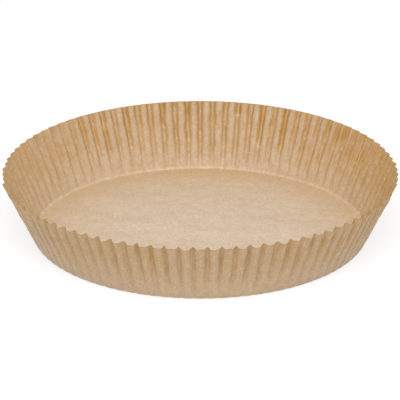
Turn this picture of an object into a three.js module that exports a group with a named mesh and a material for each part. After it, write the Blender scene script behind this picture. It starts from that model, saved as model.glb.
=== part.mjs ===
// A pleated paper liner for the basket of a round air fryer.
//
// It is pressed from one flat disc of greaseproof paper into a dish: a flat round floor, a soft
// fold round the floor, and a wall that leans out. Around the wall the disc has more paper than
// the dish has room for, so the spare paper stands in pleats. They grow from nothing at the fold
// and are deepest at the rim. The disc's round cut edge runs along their tops, so the rim is
// scalloped: it dips at each outward ridge and rises at each inward one.
//
// Millimetres, +Z up. The origin is the centre of the floor's underside, on which the liner rests.

import * as THREE from "three";

// Driving dimensions.
const FLOOR_RADIUS = 100; // out to where the floor and the wall would meet in a sharp corner
const WALL_SLANT = 43; // along the paper, from that corner to the cut edge
const WALL_LEAN = THREE.MathUtils.degToRad(24); // of the wall, from upright
const PAPER_THICKNESS = 0.06;
const FOLD_REACH = 1.2; // how far the soft fold reaches along the floor and up the wall
const PLEAT_COUNT = 90;
const RIDGE_SHARPNESS = 0.85; // of a pleat's ridges: near 0 they are round, and at 1 they are sharp

// How finely the surface is drawn.
const COLUMNS_PER_PLEAT = 6;
const WALL_BANDS = 3;

const PAPER_COLOUR = "#cdb08b";
const PAPER_ROUGHNESS = 0.85;

// The directions up the wall and through its paper towards the inside, in the upright plane.
const UP_THE_WALL = new THREE.Vector2(Math.sin(WALL_LEAN), Math.cos(WALL_LEAN));
const THROUGH_THE_WALL = new THREE.Vector2(-Math.cos(WALL_LEAN), Math.sin(WALL_LEAN));
const THROUGH_THE_FLOOR = new THREE.Vector2(0, 1);

// At a slant distance up the wall, the disc's paper is longer than the cone's circle. With
// straight flanks a pleat takes up the difference when it is this deep from ridge to ridge.
function pleatDepth(slant) {
  const paper = (2 * Math.PI * (FLOOR_RADIUS + slant)) / PLEAT_COUNT;
  const circle = (2 * Math.PI * (FLOOR_RADIUS + slant * UP_THE_WALL.x)) / PLEAT_COUNT;
  return 0.5 * Math.sqrt(paper ** 2 - circle ** 2);
}

// Where a pleated wall stands between its outward ridges, at 1, and its inward ones, at -1.
// One pleat is one turn, and the whole turns are outward ridges.
function pleatWave(turns) {
  const swing = Math.cos(2 * Math.PI * turns);
  return Math.asin(RIDGE_SHARPNESS * swing) / Math.asin(RIDGE_SHARPNESS);
}

// A ring of the sheet: its radius and height on the outer face, the direction through the paper
// to the inner face, and the depth of the pleats there.
function wallRing(slant) {
  return {
    place: new THREE.Vector2(FLOOR_RADIUS, 0).addScaledVector(UP_THE_WALL, slant),
    through: THROUGH_THE_WALL,
    depth: pleatDepth(slant),
  };
}

// The rings from the floor's edge to the rim. The pleats deepen quickly above the fold and slowly
// near the rim, so the rings lie closer together low on the wall.
function sheetRings() {
  const rings = [
    { place: new THREE.Vector2(FLOOR_RADIUS - FOLD_REACH, 0), through: THROUGH_THE_FLOOR, depth: 0 },
  ];
  for (let band = 0; band <= WALL_BANDS; band++) {
    const share = (band / WALL_BANDS) ** 2;
    rings.push(wallRing(THREE.MathUtils.lerp(FOLD_REACH, WALL_SLANT, share)));
  }
  return rings;
}

// The sheet as one closed surface: its outer face, its inner face a paper's thickness away, and
// the cut edge between them. Both faces split their quads along the same diagonal, so that the
// paper keeps its thickness where the pleats twist, and the diagonals mirror at each ridge.
function linerGeometry() {
  const rings = sheetRings();
  const columns = PLEAT_COUNT * COLUMNS_PER_PLEAT;
  const positions = [];
  const triangles = [];

  const addPoint = (radius, height, angle) => {
    positions.push(radius * Math.sin(angle), -radius * Math.cos(angle), height);
    return positions.length / 3 - 1;
  };
  const addQuad = (a, b, c, d, splitAtA) => {
    if (splitAtA) triangles.push(a, b, c, a, c, d);
    else triangles.push(b, c, d, b, d, a);
  };
  const addFace = (offset) =>
    rings.map((ring) =>
      Array.from({ length: columns }, (_, column) => {
        const swing = 0.5 * ring.depth * pleatWave(column / COLUMNS_PER_PLEAT);
        const point = ring.place.clone();
        point.addScaledVector(ring.through, offset);
        point.addScaledVector(THROUGH_THE_WALL, -swing);
        return addPoint(point.x, point.y, (2 * Math.PI * column) / columns);
      }),
    );

  const outer = addFace(0);
  const inner = addFace(PAPER_THICKNESS);
  const outerMiddle = addPoint(0, 0, 0);
  const innerMiddle = addPoint(0, PAPER_THICKNESS, 0);
  const rim = rings.length - 1;
  for (let here = 0; here < columns; here++) {
    const next = (here + 1) % columns;
    const outwardRidgeFirst = here % COLUMNS_PER_PLEAT < COLUMNS_PER_PLEAT / 2;
    triangles.push(outerMiddle, outer[0][next], outer[0][here]);
    triangles.push(innerMiddle, inner[0][here], inner[0][next]);
    for (let ring = 0; ring < rim; ring++) {
      const [low, high] = [outer[ring], outer[ring + 1]];
      addQuad(low[here], low[next], high[next], high[here], outwardRidgeFirst);
      const [lowIn, highIn] = [inner[ring], inner[ring + 1]];
      addQuad(lowIn[here], highIn[here], highIn[next], lowIn[next], outwardRidgeFirst);
    }
    addQuad(outer[rim][here], outer[rim][next], inner[rim][next], inner[rim][here], true);
  }

  const geometry = new THREE.BufferGeometry();
  geometry.setAttribute("position", new THREE.Float32BufferAttribute(positions, 3));
  geometry.setIndex(triangles);
  geometry.computeVertexNormals();
  return geometry;
}

function paperMaterial() {
  return new THREE.MeshStandardMaterial({
    color: PAPER_COLOUR,
    roughness: PAPER_ROUGHNESS,
    metalness: 0,
  });
}

const paperLiner = new THREE.Mesh(linerGeometry(), paperMaterial());
paperLiner.name = "paper_liner";

const liner = new THREE.Group();
liner.name = "air_fryer_paper_liner";
liner.add(paperLiner);

export default liner;
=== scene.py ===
import math
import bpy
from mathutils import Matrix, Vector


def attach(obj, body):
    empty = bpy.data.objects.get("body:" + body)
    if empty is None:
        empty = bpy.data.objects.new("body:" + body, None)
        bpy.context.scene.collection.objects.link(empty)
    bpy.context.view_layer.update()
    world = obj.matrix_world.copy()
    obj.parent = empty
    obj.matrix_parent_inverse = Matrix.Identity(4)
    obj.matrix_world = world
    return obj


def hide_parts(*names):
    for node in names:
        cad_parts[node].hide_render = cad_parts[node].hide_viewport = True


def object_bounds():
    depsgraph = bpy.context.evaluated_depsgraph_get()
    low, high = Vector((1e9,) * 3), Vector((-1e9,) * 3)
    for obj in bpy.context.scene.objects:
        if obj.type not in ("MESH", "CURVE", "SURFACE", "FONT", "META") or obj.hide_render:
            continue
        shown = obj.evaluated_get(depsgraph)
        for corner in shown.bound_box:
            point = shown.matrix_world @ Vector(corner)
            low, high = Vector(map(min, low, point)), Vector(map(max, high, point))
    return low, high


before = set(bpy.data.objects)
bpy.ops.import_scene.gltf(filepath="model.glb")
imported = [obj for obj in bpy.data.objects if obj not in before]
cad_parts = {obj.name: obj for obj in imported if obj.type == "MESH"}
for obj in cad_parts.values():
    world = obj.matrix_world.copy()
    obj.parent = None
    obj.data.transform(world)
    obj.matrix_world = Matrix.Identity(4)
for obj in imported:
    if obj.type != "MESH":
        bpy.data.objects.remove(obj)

from types import SimpleNamespace

import bpy
import numpy as np
from mathutils import Vector

# The looks of a pleated air fryer liner, pressed from one disc of kraft greaseproof paper.
# Metres. The liner stands on z = 0 with its axis along Z, and the camera looks along +Y.

cad_box = [list(corner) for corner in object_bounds()]

MM = 0.001

# The liner's own sizes, as in the frame.
FLOOR_RADIUS = 100 * MM  # out to the sharp corner that the floor and wall would make
WALL_SLANT = 43 * MM  # along the paper, from that corner to the cut edge
WALL_LEAN = math.radians(24)  # of the wall, from upright
PAPER_THICKNESS = 0.06 * MM
PLEAT_COUNT = 90
PLEAT_PITCH = 2 * math.pi / PLEAT_COUNT

# The soft fold round the floor, and the pleats next to it.
FOLD_REACH = 2.0 * MM  # along the floor and up the wall, on both sides of the corner
LOWERED_REACH = 4 * FOLD_REACH  # from the fold's start, over which the pleats rise to their full height
PUCKER_REACH = 3.5 * MM  # how far the pleats' puckers run in over the floor
PUCKER_DEPTH = 0.2 * MM  # at the fold
SETTLED = 10.0 * MM  # slant above the fold by which the pleats have their full depth
DEPTH_AT_THE_FOLD = 0.5  # of that depth

# A pleat's section, in shares of its pitch from the outward ridge. The two ridges are joined by a
# flank, which at the front reaches to the middle of the inward ridge and makes it sharp.
FLANK_AT_THE_BACK = (0.035, 0.295)  # from and to
FLANK_AT_THE_FRONT = (0.2, 0.5)
EVEN_MIDDLE = 0.25  # of a flank between two ridges of one width
COLUMN_PULL = 0.7  # how far the mesh's columns are drawn to the narrow ridges, up to 1
ROUNDING = 0.4  # of the folds at the flank's ends, from 0 for sharp to 1
CROWN = 0.22  # of the depth, in the curve of the faces between the flanks

# The bottom of an outward ridge, in shares of the way to the flank's middle.
BOTTOM_MARGIN = 0.02  # of a pitch, past the flank's middle
BOTTOM_END = 0.8
BOTTOM_FADE = 0.5

# How the pleats differ from even ones.
RIDGE_WANDER = 0.04  # of a pitch, sideways
WANDER_GROWTH = 8  # how quickly that begins above the fold: at 8, within an eighth of the wall
DEPTH_WANDER = 0.2  # of the depth
FLANK_WANDER = 0.05  # of a pitch
FLANK_CALM = 0.125  # of a pitch, within which the inward ridge keeps the flank from wandering
CRINKLE = 0.09  # of the depth, from column to column
WANDER_KNOTS = 9  # turning points of a ridge's wander, from the fold to the rim

# The press has pinched some outward ridges part of the way up.
PINCHED_SHARE = 0.55  # of the ridges
PINCH_PLACE = (0.35, 0.85)  # from and to, in shares of the wall's height
NOT_PINCHED = 2  # a place past the rim
PINCH_LOSS = (0.15, 0.6)  # of the depth, below the pinch
PINCH_PUSH = (0.1, 0.5)  # of the depth, at the pinch
PINCH_LENGTH = 1.3 * MM

# The mesh: columns in each pleat on the wall and on the floor, and rows from the middle to the rim.
WALL_COLUMNS = 14
FLOOR_COLUMNS = 2
FLOOR_RINGS = (10, 22, 34, 46, 57, 67, 76, 84, 90)  # radii, in millimetres
EDGE_ROWS = (5.6, 3.4)  # inside the corner, in millimetres
FOLD_ROWS = 6
WALL_ROWS = 29
ROW_CROWDING = 1.15  # above 1, the wall's rows stand closer together by the fold
SHARP_FROM = math.radians(60)  # between two faces, such as at the cut edge
SEED = 20

# Painted shade in the creases, in brown: the level, and how far it wanders from pleat to pleat.
CREASE_LEVEL = (0.8, 0.6)
FAINTER_AT_THE_SIDES = 0.6
STRONGER_AT_THE_RIGHT = 0.5
FLANK_LINE = (0.36, 0.16)  # half the painted shade line's width, in flanks, at the back and at the sides
BOTTOM_SHADE = (0.2, 1.5)  # in the ridge's bottom, at the back and at the sides
BOTTOM_SHADE_FADE = 0.25  # of the flank's width
EDGE_SHADE = (1.4, 0.5)  # along the flank's far end at the sides, and how much more at the right
EDGE_LINE = 0.16  # half that line's width, in flanks
CREASE_START = 0.1  # the easing of the creases at the fold
CREASE_GROWTH = 1.9  # and its growth in one wall's height
FAINTER_BELOW_A_PINCH = 0.35
PINCH_SHADE_PLACE = 0.9  # above the pinch, in pinch lengths

# How pale the rubbed places are, and the painted highlight along the fold: the level, and how far it
# wanders.
RIDGE_RUB = (0.2, 0.45)
RIDGE_RUB_REACH = 0.05  # of a pitch
RIDGE_GROWTH = 6  # how quickly a ridge's own tint begins above the fold
# A painted highlight where the soft fold round the floor would catch the light.
FOLD_HIGHLIGHT = (0.34, 0.4)
FOLD_HIGHLIGHT_PLACE = 0.4 * MM  # above the corner
FOLD_HIGHLIGHT_REACH = 1.0 * MM
PINCH_RUB_REACH = 0.6  # in pinch lengths

# The warm light that the walls throw on each other and on the floor.
WARM_AT_THE_FOLD = 0.55  # of what it is at the rim
WARM_GROWTH = 1.3
WARM_AT_THE_SIDES = (0.14, 0.11)  # added at both sides, and more at the right
COOL_CORNERS = 0.26  # taken away at the two corners of the back
WARM_ON_THE_FLOOR = (0.7, 0.35)  # by the front wall, and more by the back wall
COOL_FLOOR_SIDES = 0.12
WARM_REACH = 16 * MM  # how far over the floor it falls
EVENED_AT_THE_SIDES = 0.8  # of the difference in tint between outward and inward ridges

FINISH_VALUES = ("up", "crease", "scuff", "warm", "ridge")


# Small sums that several places share.


def smooth(share):
    """Eases a share from 0 to 1."""
    share = np.clip(share, 0, 1)
    return share * share * (3 - 2 * share)


def blend(low, high, share):
    """The value at a share of the way from low to high."""
    return low + (high - low) * share


def near(value, middle, reach):
    """1 at the middle, falling off smoothly on both sides."""
    return np.exp(-(((value - middle) / reach) ** 2))


def uneven(level_and_wander, marks):
    """A level that wanders with marks between -1 and 1."""
    level, wander = level_and_wander
    return level + wander * marks


# Camera.

CAMERA_DISTANCE = 1.95
CAMERA_ELEVATION = math.radians(22.6)
CAMERA_TARGET = Vector((-0.0001, 0, 0.0204))  # the middle of the picture
VIEW_WIDTH = 0.2404  # across the picture at the target
CAMERA_CLIP = 20  # far enough to see the whole stage


def add_camera():
    data = bpy.data.cameras.new("camera")
    data.sensor_fit = "HORIZONTAL"
    data.angle = 2 * math.atan(VIEW_WIDTH / 2 / CAMERA_DISTANCE)
    data.clip_end = CAMERA_CLIP
    camera = bpy.data.objects.new("camera", data)
    bpy.context.collection.objects.link(camera)
    back = Vector((0, -math.cos(CAMERA_ELEVATION), math.sin(CAMERA_ELEVATION)))
    camera.location = CAMERA_TARGET + CAMERA_DISTANCE * back
    camera.rotation_euler = back.to_track_quat("Z", "Y").to_euler()
    bpy.context.scene.camera = camera


# The liner's shape.


def profile(reach):
    """The unpleated dish's section at distances along the paper from the corner, which are below 0 on
    the floor: radius and height on the outer face, and the outward direction there, as r and z."""
    turn = math.pi / 2 - WALL_LEAN
    fold_radius = FOLD_REACH / math.tan(turn / 2)
    angle = turn * np.clip((reach + FOLD_REACH) / (2 * FOLD_REACH), 0, 1)
    radius = FLOOR_RADIUS - FOLD_REACH + fold_radius * np.sin(angle)
    height = fold_radius * (1 - np.cos(angle))
    on_floor = np.minimum(reach + FOLD_REACH, 0)
    on_wall = np.maximum(reach - FOLD_REACH, 0)
    radius = radius + on_floor + on_wall * math.sin(WALL_LEAN)
    height = height + on_wall * math.cos(WALL_LEAN)
    return radius, height, np.sin(angle), -np.cos(angle)


def pleat_depth(reach):
    """A pleat takes up the disc's spare paper when it is this deep from ridge to ridge."""
    slant = np.maximum(reach, 0)
    paper = PLEAT_PITCH * (FLOOR_RADIUS + slant)
    circle = PLEAT_PITCH * (FLOOR_RADIUS + slant * math.sin(WALL_LEAN))
    depth = 0.5 * np.sqrt(paper**2 - circle**2)
    depth *= blend(DEPTH_AT_THE_FOLD, 1, smooth(slant / SETTLED))
    pucker = PUCKER_DEPTH * smooth(1 + np.minimum(reach, 0) / PUCKER_REACH)
    return np.sqrt(depth**2 + pucker**2)


def wandering(rng, lines, up):
    """For each line one smooth random curve, within -1 and 1, at the shares up the wall."""
    values = rng.uniform(-1, 1, (WANDER_KNOTS, lines))
    place = np.clip(up, 0, 1) * (WANDER_KNOTS - 1)
    left = np.minimum(place.astype(int), WANDER_KNOTS - 2)
    eased = smooth(place - left)[:, None]
    return values[left] * (1 - eased) + values[left + 1] * eased


def between_ridges(at_ridges, turns):
    """Spreads values at the ridges, outward and inward in turn, over the columns between them."""
    place = 2 * turns
    left = np.floor(place).astype(int)
    eased = smooth(place - left)
    count = at_ridges.shape[1]
    return at_ridges[:, left % count] * (1 - eased) + at_ridges[:, (left + 1) % count] * eased


def press_marks(up, turns, columns_per_pleat):
    """How the pleats differ from even ones, on a grid of rows and columns. What wanders lies between
    -1 and 1. A pinch has a place up the wall, a loss of depth below it and a push inwards."""
    rng = np.random.default_rng(SEED)
    sideways, depth, flank, shade, rub_and_highlight = (
        between_ridges(wandering(rng, 2 * PLEAT_COUNT, up), turns) for _ in range(5)
    )
    pinched = rng.random(PLEAT_COUNT) < PINCHED_SHARE
    pinch_place = np.where(pinched, rng.uniform(*PINCH_PLACE, PLEAT_COUNT), NOT_PINCHED)
    pinch_loss = rng.uniform(*PINCH_LOSS, PLEAT_COUNT)
    pinch_push = rng.uniform(*PINCH_PUSH, PLEAT_COUNT)
    crinkle = wandering(rng, PLEAT_COUNT * WALL_COLUMNS, up)
    pleat = np.round(turns).astype(int) % PLEAT_COUNT
    return SimpleNamespace(
        sideways=sideways,
        depth=depth,
        flank=flank,
        shade=shade,
        rub_and_highlight=rub_and_highlight,
        crinkle=crinkle[:, :: WALL_COLUMNS // columns_per_pleat],
        pinch_place=pinch_place[pleat],
        pinch_loss=pinch_loss[pleat],
        pinch_push=pinch_push[pleat],
    )


def facings(turns):
    """Where the columns stand round the liner: back runs from 0 at the front to 1, right from -1 at the
    left to 1, sides is 1 at both sides, and corners is largest at the two corners of the back."""
    angle = PLEAT_PITCH * turns
    back = 0.5 - 0.5 * np.cos(angle)
    right = np.sin(angle)
    return SimpleNamespace(back=back, right=right, sides=right**2, corners=back * np.sin(2 * angle) ** 2)


def pleat_section(slant, turns, facing, marks):
    """The pleats' section on a grid of rows and columns. The wave is 1 on an outward ridge and -1 on an
    inward one. The place is in turns, off_ridge is the share of a pitch from the outward ridge, across
    runs from -0.5 to 0.5 over the flank, and in_bottom is 1 in the outward ridge's bottom. Above_pinch
    is in pinch lengths."""
    start, end = (
        blend(front, back, facing.back) for front, back in zip(FLANK_AT_THE_FRONT, FLANK_AT_THE_BACK)
    )
    middle = (start + end) / 2
    # The columns stand closer together on the narrow ridges.
    place = turns - COLUMN_PULL * (EVEN_MIDDLE - middle) * np.sin(2 * math.pi * turns)
    off_ridge = np.abs(place - np.round(place))
    flank_step = FLANK_WANDER * marks.flank * smooth((0.5 - off_ridge) / FLANK_CALM)
    across = (off_ridge - middle - flank_step) / (end - start)
    share = np.clip(0.5 + across, 0, 1)
    flat_wave = 1 - 2 * blend(share, smooth(share), ROUNDING)
    wave = blend(flat_wave, np.cos(2 * math.pi * off_ridge), CROWN) + CRINKLE * marks.crinkle

    # A pinched ridge is shallower below the pinch, and at the pinch its bottom is pushed in.
    above_pinch = (slant - WALL_SLANT * marks.pinch_place) / PINCH_LENGTH
    below_pinch = smooth(0.5 - above_pinch)
    in_bottom = smooth((BOTTOM_END - off_ridge / (middle + BOTTOM_MARGIN)) / BOTTOM_FADE)
    wave = wave - in_bottom * (marks.pinch_loss * below_pinch + marks.pinch_push * near(above_pinch, 0, 1))
    return SimpleNamespace(
        place=place,
        off_ridge=off_ridge,
        across=across,
        wave=wave,
        in_bottom=in_bottom,
        above_pinch=above_pinch,
        below_pinch=below_pinch,
    )


def crease_shade_values(up, facing, section, marks):
    """Painted shade in the creases, in brown: on the flanks at the back, and at the sides in the ridges'
    bottoms and along the flanks' far ends, with a painted dark spot just above each pinch."""
    strength = uneven(CREASE_LEVEL, marks.shade) * (1 - FAINTER_AT_THE_SIDES * facing.sides**2)
    strength = strength * (1 + STRONGER_AT_THE_RIGHT * np.maximum(facing.right, 0))
    on_flank = near(section.across, 0, blend(*FLANK_LINE, facing.sides))
    on_flank = on_flank * (1 - FAINTER_AT_THE_SIDES * facing.sides**2)
    in_bottom = blend(*BOTTOM_SHADE, facing.sides) * smooth(1 - (section.across + 0.5) / BOTTOM_SHADE_FADE)
    on_edge = uneven(EDGE_SHADE, facing.right) * facing.sides * near(section.across, 0.5, EDGE_LINE)
    crease = strength * np.maximum(np.maximum(on_flank, in_bottom), on_edge)
    crease = crease * smooth(CREASE_START + CREASE_GROWTH * up)
    crease = crease * (1 - FAINTER_BELOW_A_PINCH * section.below_pinch)
    over_the_pinch = near(section.above_pinch, PINCH_SHADE_PLACE, 1)
    return crease + section.in_bottom * marks.pinch_push * over_the_pinch


def scuff_and_highlight_values(slant, up, section, marks):
    """How pale the paper is: rubbed on the press on the outward ridges and at the pinches, and a painted
    highlight along the fold."""
    on_ridge = near(section.off_ridge, 0, RIDGE_RUB_REACH) * uneven(RIDGE_RUB, marks.rub_and_highlight)
    on_fold = near(slant, FOLD_HIGHLIGHT_PLACE, FOLD_HIGHLIGHT_REACH) * uneven(FOLD_HIGHLIGHT, marks.rub_and_highlight)
    at_pinch = section.in_bottom * near(section.above_pinch, 0, PINCH_RUB_REACH)
    scuff = np.maximum(np.maximum(on_ridge * smooth(RIDGE_GROWTH * up), on_fold), at_pinch)
    return np.clip(scuff, 0, 1)


def warm_values(slant, up, facing):
    """How strong the warm light between the walls is, on the wall and on the floor next to it."""
    side_glow = uneven(WARM_AT_THE_SIDES, facing.right) * facing.sides
    on_wall = blend(WARM_AT_THE_FOLD, 1, smooth(WARM_GROWTH * up))
    on_wall = on_wall * (1 + side_glow - COOL_CORNERS * facing.corners)
    on_floor = uneven(WARM_ON_THE_FLOOR, facing.back) - COOL_FLOOR_SIDES * facing.sides
    on_floor = on_floor * np.exp(np.minimum(slant, 0) / WARM_REACH)
    return np.where(slant > 0, on_wall, on_floor)


def pleated(reach, columns_per_pleat):
    """The sheet's outer face at the distances along the paper, on a grid of rows and columns: the points,
    the outward directions, and what the finish needs, which are the share up the wall, how much painted
    shade the creases take, how scuffed the paper is with a painted highlight along the fold, how warmly
    lit it is, and the share from an inward ridge to an outward one."""
    slant = reach[:, None]
    up = np.clip(slant / WALL_SLANT, 0, 1)
    turns = np.arange(PLEAT_COUNT * columns_per_pleat) / columns_per_pleat
    facing = facings(turns)
    marks = press_marks(up[:, 0], turns, columns_per_pleat)
    section = pleat_section(slant, turns, facing, marks)

    # Near the fold the whole wave lies inside the dish, so that no ridge reaches under the floor.
    depth = pleat_depth(slant) * (1 + DEPTH_WANDER * marks.depth)
    lowered = 1 - smooth((slant + FOLD_REACH) / LOWERED_REACH)
    swing = 0.5 * depth * (section.wave - lowered)
    side_step = RIDGE_WANDER * marks.sideways * smooth(WANDER_GROWTH * up)
    angle = PLEAT_PITCH * (section.place + side_step)

    radius, height, out_r, out_z = profile(slant)
    r = radius + swing * out_r
    z = height + swing * out_z
    out_r, out_z = np.broadcast_to(out_r, r.shape), np.broadcast_to(out_z, r.shape)
    points = np.stack([r * np.sin(angle), -r * np.cos(angle), z], -1)
    outward = np.stack([out_r * np.sin(angle), -out_r * np.cos(angle), out_z], -1)

    swing_shown = section.wave * (1 - EVENED_AT_THE_SIDES * facing.sides) * smooth(RIDGE_GROWTH * up)
    finish = (
        np.broadcast_to(up, r.shape),
        crease_shade_values(up, facing, section, marks),
        scuff_and_highlight_values(slant, up, section, marks),
        warm_values(slant, up, facing),
        np.clip(0.5 + 0.5 * swing_shown, 0, 1),
    )
    return points, outward, finish


def sheet_rows():
    """Distances along the paper from the corner: a few rings on the floor, and then the finer rows."""
    rings = np.array(FLOOR_RINGS) * MM - FLOOR_RADIUS
    floor_edge = -np.array(EDGE_ROWS) * MM
    fold = np.linspace(-FOLD_REACH, FOLD_REACH, FOLD_ROWS)
    shares = np.linspace(0, 1, WALL_ROWS + 1)[1:] ** ROW_CROWDING
    wall = blend(FOLD_REACH, WALL_SLANT, shares)
    return rings, np.concatenate([floor_edge, fold, wall])


def band(low, high):
    """The triangles between two rows of points, as seen from outside."""
    low_next, high_next = np.roll(low, -1), np.roll(high, -1)
    return [np.stack([low, low_next, high_next], 1), np.stack([low, high_next, high], 1)]


def widening_band(coarse, fine):
    """The triangles between the floor's last ring and the first of the finer rows."""
    ratio = len(fine) // len(coarse)
    coarse_next = np.roll(coarse, -1)
    here, after = fine.reshape(-1, ratio), np.roll(fine, -1).reshape(-1, ratio)
    triangles = [np.stack([coarse, coarse_next, here[:, ratio // 2]], 1)]
    for step in range(ratio):
        corner = coarse if step < ratio // 2 else coarse_next
        triangles.append(np.stack([corner, after[:, step], here[:, step]], 1))
    return triangles


def sheet_triangles(ring_count, row_count):
    """The closed sheet's triangles. The outer face's points are the middle, the rings and the rows. The
    inner face has the same points and triangles turned over, and the cut edge joins the two."""
    coarse, fine = PLEAT_COUNT * FLOOR_COLUMNS, PLEAT_COUNT * WALL_COLUMNS
    rings = 1 + np.arange(ring_count * coarse).reshape(ring_count, coarse)
    rows = 1 + rings.size + np.arange(row_count * fine).reshape(row_count, fine)
    triangles = [np.stack([np.zeros_like(rings[0]), np.roll(rings[0], -1), rings[0]], 1)]
    for low, high in zip(rings, rings[1:]):
        triangles += band(low, high)
    triangles += widening_band(rings[-1], rows[0])
    for low, high in zip(rows, rows[1:]):
        triangles += band(low, high)
    outer = np.concatenate(triangles)
    count = 1 + rings.size + rows.size
    return np.concatenate([outer, outer[:, ::-1] + count, *band(rows[-1], rows[-1] + count)])


def build_liner():
    """The whole sheet as one closed mesh, with the values for its finish at every point."""
    rings, rows = sheet_rows()
    floor_points, floor_outward, floor_finish = pleated(rings, FLOOR_COLUMNS)
    wall_points, wall_outward, wall_finish = pleated(rows, WALL_COLUMNS)
    outer = np.concatenate([[[0, 0, 0]], floor_points.reshape(-1, 3), wall_points.reshape(-1, 3)])
    outward = np.concatenate([[[0, 0, -1]], floor_outward.reshape(-1, 3), wall_outward.reshape(-1, 3)])
    points = np.concatenate([outer, outer - PAPER_THICKNESS * outward])
    values = {
        name: np.tile(np.concatenate([[0], on_floor.ravel(), on_wall.ravel()]), 2)
        for name, on_floor, on_wall in zip(FINISH_VALUES, floor_finish, wall_finish)
    }
    values["inside"] = np.repeat([0.0, 1.0], len(outer))

    mesh = bpy.data.meshes.new("pleated_sheet")
    mesh.from_pydata(points.tolist(), [], sheet_triangles(len(rings), len(rows)).tolist())
    for name, value in values.items():
        layer = mesh.attributes.new(name, "FLOAT", "POINT")
        layer.data.foreach_set("value", value.astype(np.float32))
    mesh.polygons.foreach_set("use_smooth", np.ones(len(mesh.polygons), bool))
    mesh.set_sharp_from_angle(angle=SHARP_FROM)
    mesh.update()
    liner = bpy.data.objects.new("pleated_sheet", mesh)
    bpy.context.collection.objects.link(liner)
    return liner


# Materials.

PAPER_DARK = "#ceb394"
PAPER_PALE = "#e2cfb8"
PAPER_WARM = "#c0985c"  # where the walls light each other
# painted shade in the creases and under the fold, and painted orange light along the cut edge
PAINTED_SHADE_BROWN = "#bd871c"
# rubbed folds, and the painted highlight along the fold
SCUFF_AND_HIGHLIGHT_PALE = "#e6d5bd"
SWEEP_WHITE = "#efefef"
SWEEP_SEEN = "#959595"  # the part that shows the shadow, where the camera sees it
PLAIN_WHITE = "#ffffff"

PAPER_ROUGHNESS = 0.42  # calendered, so smoother than plain kraft
PAPER_IOR = 1.5  # of cellulose

# The paper's patterns: their size, how many finer layers each has, and how strong those are.
PATTERNS = {
    "streak": (1.3 * MM, 2.0, 0.6),  # fine creases along the pleats
    "fleck": (0.8 * MM, 1.0, 0.5),  # pale flecks on the wall
    "cloud": (6 * MM, 4.0, 0.65),  # unevenly spread pulp
    "fibre": (1.7 * MM, 4.0, 0.75),  # flocks of fibres, each about as long as one fibre
    "wisp": (13 * MM, 2.0, 0.5),  # wisps of pulp, drawn out across the sheet
    "tooth": (0.7 * MM, 3.0, 0.6),  # the real one is about 0.2 mm, too fine to show, so it is coarser
    "crumple": (12 * MM, 2.0, 0.5),  # the sheet's faint waves
}
STREAK_STRETCH = 7  # how many times longer than wide the streaks and flecks are
WISP_SQUEEZE = (0.35, 1, 1)  # of places along each axis, which draws the pattern out along X
CRUMPLE_SQUEEZE = (0.5, 1, 1)

# What the patterns do. A span is the part of a pattern's values that is used, from and to, and the pair
# after it is what they become there.
WIDE_SPAN = (0.3, 0.7)
FORMATION_SPAN = (0.4, 0.6)
FORMATION_SHARES = {"wisp": 0.2, "cloud": 0.3, "fibre": 0.5}
WARM_BY_WISP = (0.52, 0.72)
WARM_BY_FIBRE = (1.25, 0.75)
WARM_OUTSIDE = (1.0, 1.05)  # on the ridges and in the hollows of the outer face
WARM_INSIDE = (0.75, 1.3)  # and of the inner face
# The painted crease shade, varied by the streaks and stronger on the inner face.
SHADE_BY_STREAK = (0.45, 1.45)
SHADE_BY_FACE = (0.22, 0.85)  # outside and inside
MOST_PAINTED_BROWN = 0.95
EDGE_LIGHT_SPAN = (0.972, 0.995)  # of the wall's height, where the painted orange light along the thin cut edge begins
EDGE_LIGHT = (0.0, 0.35)
CONTACT_SHADOW_SPAN = (0.9 * MM, 0.2 * MM)  # heights, over which the painted contact shadow under the fold darkens
CONTACT_SHADOW_BY_FACE = (0.5, 0.0)
WALL_SPAN = (0.0, 0.12)  # of the wall's height, where the wall's own patterns begin
FLECK_SPAN = (0.66, 0.74)
FLECK_PALE = (0.0, 0.35)
SCUFF_AND_HIGHLIGHT_SPAN = (0.35, 0.65)
SCUFF_AND_HIGHLIGHT_BY_FIBRE = (0.15, 0.7)
NOTHING_TO_ALL = (0.0, 1.0)

# The relief, in shares of the crumple's.
TOOTH_RELIEF = 0.12
STREAK_RELIEF = 0.35
RELIEF_STRENGTH = 0.5
RELIEF_HEIGHT = 0.3 * MM

# Kinds of node, and the numbers of a mixing node's inputs and outputs.
MATH = "ShaderNodeMath"
VECTOR_MATH = "ShaderNodeVectorMath"
RANGE = "ShaderNodeMapRange"
MIX = "ShaderNodeMix"
FACTOR, LOW_VALUE, HIGH_VALUE, LOW_COLOUR, HIGH_COLOUR = 0, 2, 3, 6, 7
MIXED_COLOUR = 2


def linear(hex_colour):
    """An sRGB hex colour as linear RGBA."""
    parts = [int(hex_colour[k : k + 2], 16) / 255 for k in (1, 3, 5)]
    return [c / 12.92 if c <= 0.04045 else ((c + 0.055) / 1.055) ** 2.4 for c in parts] + [1]


def add_node(tree, kind, inputs=(), output=0, **settings):
    """Adds a node with its settings, and fills its inputs, by name or in their order, with values or
    with other nodes' outputs. It gives the node's output, if it has any."""
    made = tree.nodes.new(kind)
    for name, value in settings.items():
        setattr(made, name, value)
    for name, value in inputs.items() if isinstance(inputs, dict) else enumerate(inputs):
        if isinstance(value, bpy.types.NodeSocket):
            tree.links.new(value, made.inputs[name])
        else:
            made.inputs[name].default_value = value
    return made.outputs[output] if made.outputs else None


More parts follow.
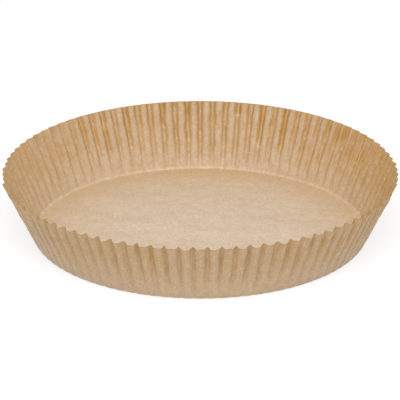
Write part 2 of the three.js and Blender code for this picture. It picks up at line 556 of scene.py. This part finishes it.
def paper_patterns(tree, place, up):
    """Each pattern's values, from 0 to 1. The streaks and flecks lie on the wall's rolled-out sheet, so
    that they can be drawn out along the pleats."""
    around = add_node(tree, VECTOR_MATH, [place, (1, 1, 0)], operation="MULTIPLY")
    around = add_node(tree, VECTOR_MATH, [around], operation="NORMALIZE")
    around = add_node(tree, VECTOR_MATH, [around, (FLOOR_RADIUS, FLOOR_RADIUS, 0)], operation="MULTIPLY")
    rise = add_node(tree, MATH, [up, WALL_SLANT / STREAK_STRETCH], operation="MULTIPLY")
    rise = add_node(tree, "ShaderNodeCombineXYZ", {"Z": rise})
    on_wall = add_node(tree, VECTOR_MATH, [around, rise], operation="ADD")
    places = {
        "streak": on_wall,
        "fleck": on_wall,
        "wisp": add_node(tree, VECTOR_MATH, [place, WISP_SQUEEZE], operation="MULTIPLY"),
        "crumple": add_node(tree, VECTOR_MATH, [place, CRUMPLE_SQUEEZE], operation="MULTIPLY"),
    }
    values = {}
    for name, (size, layers, strength) in PATTERNS.items():
        inputs = {"Scale": 1 / size, "Detail": layers, "Roughness": strength}
        inputs["Vector"] = places.get(name, place)
        values[name] = add_node(tree, "ShaderNodeTexNoise", inputs, output="Fac")
    return SimpleNamespace(**values)


def pulp_colour(tree, pattern):
    """The plain paper, paler where the pulp lies thicker."""
    formation = 0.0
    for name, share in FORMATION_SHARES.items():
        inputs = [getattr(pattern, name), share, formation]
        formation = add_node(tree, MATH, inputs, operation="MULTIPLY_ADD")
    thickness = add_node(tree, RANGE, [formation, *FORMATION_SPAN, *NOTHING_TO_ALL])
    inputs = {FACTOR: thickness, LOW_COLOUR: linear(PAPER_DARK), HIGH_COLOUR: linear(PAPER_PALE)}
    return add_node(tree, MIX, inputs, MIXED_COLOUR, data_type="RGBA")


def warm_share(tree, finish, pattern):
    """How much of the warm light each place takes, which is more in the hollows than on the ridges. An
    outward ridge is a hollow of the inner face."""
    other_ridge = add_node(tree, MATH, [1.0, finish.ridge], operation="SUBTRACT")
    inputs = {FACTOR: finish.inside, LOW_VALUE: other_ridge, HIGH_VALUE: finish.ridge}
    hollow = add_node(tree, MIX, inputs, data_type="FLOAT")
    outside, inside = (
        add_node(tree, RANGE, [hollow, *NOTHING_TO_ALL, *warm]) for warm in (WARM_OUTSIDE, WARM_INSIDE)
    )
    inputs = {FACTOR: finish.inside, LOW_VALUE: outside, HIGH_VALUE: inside}
    warmth = finish.warm
    for factor in (
        add_node(tree, RANGE, [pattern.wisp, *WIDE_SPAN, *WARM_BY_WISP]),
        add_node(tree, MIX, inputs, data_type="FLOAT"),
        add_node(tree, RANGE, [pattern.fibre, *WIDE_SPAN, *WARM_BY_FIBRE]),
    ):
        warmth = add_node(tree, MATH, [warmth, factor], operation="MULTIPLY")
    return warmth


def painted_brown_share(tree, finish, pattern, height):
    """How much of the painted brown each place has: painted shade in the creases, painted orange light
    along the cut edge, and a painted contact shadow in the thin line under the fold."""
    painted_brown = finish.crease
    for factor in (
        add_node(tree, RANGE, [finish.inside, *NOTHING_TO_ALL, *SHADE_BY_FACE]),
        add_node(tree, RANGE, [pattern.streak, *WIDE_SPAN, *SHADE_BY_STREAK]),
    ):
        painted_brown = add_node(tree, MATH, [painted_brown, factor], operation="MULTIPLY")
    painted_edge_light = add_node(tree, RANGE, [finish.up, *EDGE_LIGHT_SPAN, *EDGE_LIGHT])
    low = add_node(tree, RANGE, [height, *CONTACT_SHADOW_SPAN, *NOTHING_TO_ALL])
    by_face = add_node(tree, RANGE, [finish.inside, *NOTHING_TO_ALL, *CONTACT_SHADOW_BY_FACE])
    painted_contact_shadow = add_node(tree, MATH, [low, by_face], operation="MULTIPLY")
    for line in (painted_edge_light, painted_contact_shadow):
        painted_brown = add_node(tree, MATH, [painted_brown, line], operation="MAXIMUM")
    return add_node(tree, MATH, [painted_brown, MOST_PAINTED_BROWN], operation="MINIMUM")


def pale_share(tree, finish, pattern, on_wall):
    """How much paler each place is: where the folds rubbed on the press, in the painted highlight along
    the fold, and in the wall's flecks.
    """
    by_fibre = add_node(tree, RANGE, [pattern.fibre, *SCUFF_AND_HIGHLIGHT_SPAN, *SCUFF_AND_HIGHLIGHT_BY_FIBRE])
    rubbed_and_highlit = add_node(tree, MATH, [finish.scuff, by_fibre], operation="MULTIPLY")
    fleck = add_node(tree, RANGE, [pattern.fleck, *FLECK_SPAN, *FLECK_PALE])
    fleck = add_node(tree, MATH, [fleck, on_wall], operation="MULTIPLY")
    return add_node(tree, MATH, [rubbed_and_highlit, fleck], operation="MAXIMUM")


def paper_relief(tree, pattern, on_wall):
    """The sheet's faint waves, its tooth, and the fine creases along the pleats."""
    relief = add_node(tree, MATH, [pattern.tooth, TOOTH_RELIEF, pattern.crumple], operation="MULTIPLY_ADD")
    streak = add_node(tree, MATH, [pattern.streak, on_wall], operation="MULTIPLY")
    relief = add_node(tree, MATH, [streak, STREAK_RELIEF, relief], operation="MULTIPLY_ADD")
    inputs = {"Strength": RELIEF_STRENGTH, "Distance": RELIEF_HEIGHT, "Height": relief}
    return add_node(tree, "ShaderNodeBump", inputs)


def kraft_greaseproof_paper():
    """Unbleached greaseproof paper, beaten fine, calendered and hot-pressed into shape. It gives a matt
    tan with a cloudy look-through and a slight sheen. The creases take a painted brown shade, and the
    folds that rubbed on the press are paler, with a painted highlight along the fold."""
    material = bpy.data.materials.new("kraft_greaseproof_paper")
    material.use_nodes = True
    tree = material.node_tree
    tree.nodes.clear()
    place = add_node(tree, "ShaderNodeTexCoord", output="Object")
    height = add_node(tree, "ShaderNodeSeparateXYZ", [place], output="Z")
    finish = SimpleNamespace()
    for name in (*FINISH_VALUES, "inside"):
        value = add_node(tree, "ShaderNodeAttribute", output="Fac", attribute_name=name)
        setattr(finish, name, value)
    pattern = paper_patterns(tree, place, finish.up)
    on_wall = add_node(tree, RANGE, [finish.up, *WALL_SPAN, *NOTHING_TO_ALL])

    colour = pulp_colour(tree, pattern)
    for share, tint in (
        (warm_share(tree, finish, pattern), PAPER_WARM),
        (painted_brown_share(tree, finish, pattern, height), PAINTED_SHADE_BROWN),
        (pale_share(tree, finish, pattern, on_wall), SCUFF_AND_HIGHLIGHT_PALE),
    ):
        inputs = {FACTOR: share, LOW_COLOUR: colour, HIGH_COLOUR: linear(tint)}
        colour = add_node(tree, MIX, inputs, MIXED_COLOUR, data_type="RGBA")
    inputs = {
        "Base Color": colour,
        "Roughness": PAPER_ROUGHNESS,
        "IOR": PAPER_IOR,
        "Normal": paper_relief(tree, pattern, on_wall),
    }
    shader = add_node(tree, "ShaderNodeBsdfPrincipled", inputs)
    add_node(tree, "ShaderNodeOutputMaterial", {"Surface": shader})
    return material


def seen_directly(tree):
    """1 for what the camera sees, also in a mirror or through glass, and 0 for what lights the object."""
    rays = add_node(tree, "ShaderNodeLightPath").node.outputs
    seen = rays["Is Camera Ray"]
    for kind in ("Is Glossy Ray", "Is Transmission Ray"):
        seen = add_node(tree, MATH, [seen, rays[kind]], operation="MAXIMUM")
    return seen


SWEEP_GLOW = 0.78  # with the shadowed part in full light, it makes plain white


def white_paper_sweep():
    """A seamless backdrop of matt white paper, lifted to plain white only where the camera sees it, so
    that a soft shadow still shows."""
    material = bpy.data.materials.new("white_paper_sweep")
    material.use_nodes = True
    tree = material.node_tree
    tree.nodes.clear()
    level = seen_directly(tree)
    matt = add_node(tree, "ShaderNodeBsdfDiffuse", {"Color": linear(SWEEP_WHITE)})
    shadowed = add_node(tree, "ShaderNodeBsdfDiffuse", {"Color": linear(SWEEP_SEEN)})
    glow = add_node(tree, "ShaderNodeEmission", {"Strength": SWEEP_GLOW, "Color": linear(PLAIN_WHITE)})
    lifted = add_node(tree, "ShaderNodeAddShader", [shadowed, glow])
    surface = add_node(tree, "ShaderNodeMixShader", [level, matt, lifted])
    add_node(tree, "ShaderNodeOutputMaterial", {"Surface": surface})
    return material


# The stage and the light.

STAGE_SIZE = 12.0
STAGE_GAP = 0.02 * MM  # under the liner, so that the two faces don't coincide
WORLD_LEVEL = 0.48
KEY_PLACE = (0, -1.1, 1.6)
KEY_SIZE = 1.2
KEY_POWER = 23.3


def add_stage():
    mesh = bpy.data.meshes.new("sweep")
    half = STAGE_SIZE / 2
    corners = [(-half, -half, 0), (half, -half, 0), (half, half, 0), (-half, half, 0)]
    mesh.from_pydata(corners, [], [(0, 1, 2, 3)])
    mesh.materials.append(white_paper_sweep())
    sweep = bpy.data.objects.new("sweep", mesh)
    sweep.location.z = cad_box[0][2] - STAGE_GAP
    bpy.context.collection.objects.link(sweep)


def add_world():
    world = bpy.data.worlds.new("studio")
    world.use_nodes = True
    tree = world.node_tree
    tree.nodes.clear()
    level = add_node(tree, RANGE, [seen_directly(tree), *NOTHING_TO_ALL, WORLD_LEVEL, 1.0])
    background = add_node(tree, "ShaderNodeBackground", [linear(PLAIN_WHITE), level])
    add_node(tree, "ShaderNodeOutputWorld", {"Surface": background})
    bpy.context.scene.world = world


def add_softbox(name, place, size, power):
    data = bpy.data.lights.new(name, "AREA")
    data.shape = "SQUARE"
    data.size = size
    data.energy = power
    lamp = bpy.data.objects.new(name, data)
    lamp.location = place
    lamp.rotation_euler = Vector(place).to_track_quat("Z", "Y").to_euler()
    bpy.context.collection.objects.link(lamp)


add_camera()
liner = build_liner()
liner.data.materials.append(kraft_greaseproof_paper())
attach(liner, "root")
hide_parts("paper_liner")

add_stage()
add_world()
add_softbox("key", KEY_PLACE, KEY_SIZE, KEY_POWER)
bpy.context.scene.view_settings.view_transform = "Standard"
